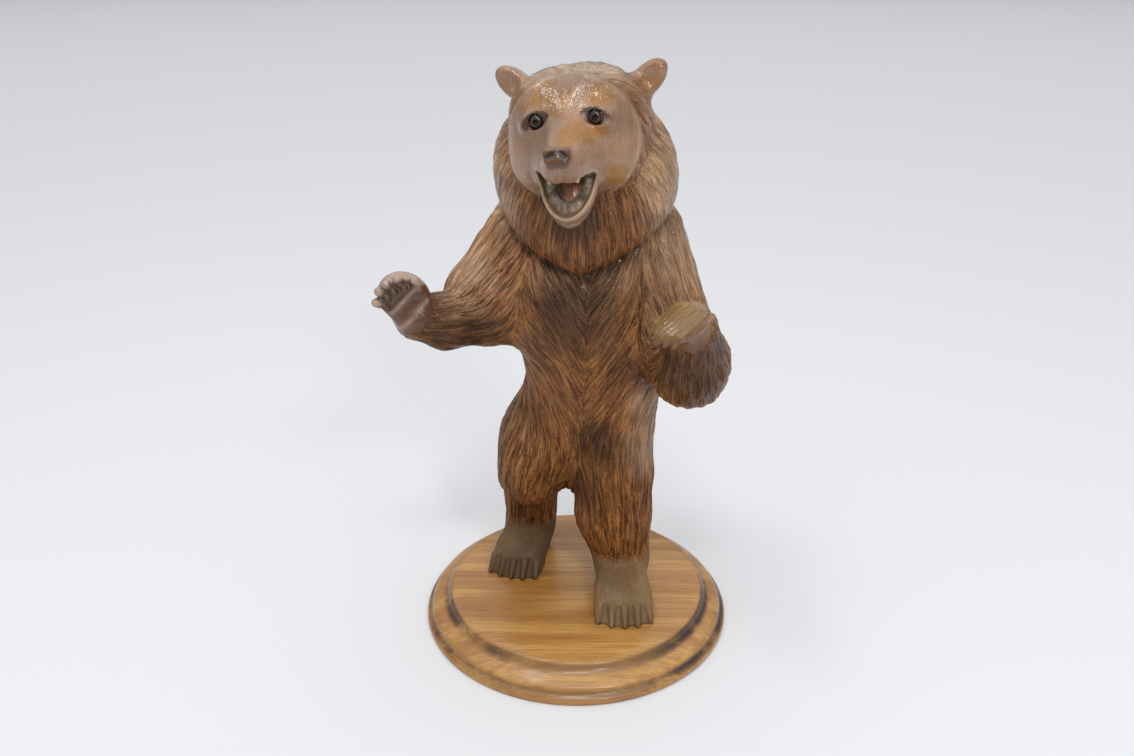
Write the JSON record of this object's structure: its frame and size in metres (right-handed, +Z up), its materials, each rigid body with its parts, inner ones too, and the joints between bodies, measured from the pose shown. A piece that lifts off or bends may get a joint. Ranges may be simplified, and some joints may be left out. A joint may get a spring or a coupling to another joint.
{
  "type": "carved wooden bear",
  "caption": "Carved and stained wooden bear standing on its hind legs, mouth open, one paw raised and one held out, on a round moulded oak plinth",
  "frame": {"origin": "centre of the plinth's flat underside, on the surface that it stands on", "axes": "+Z up, the bear faces -Y, and its own left side is towards +X"},
  "size_m": [0.273, 0.254, 0.4561],
  "materials": {
    "stained_wood": "red-brown stain, dark in the grooves and worn to tan on the ridges, satin varnish",
    "oak": "honey-coloured oak boards under satin varnish",
    "eye_glass": "polished dark brown glass"
  },
  "bodies": {
    "root": {"bear": "stained_wood", "plinth": "oak", "eye_left": "eye_glass", "eye_right": "eye_glass"}
  },
  "joints": []
}
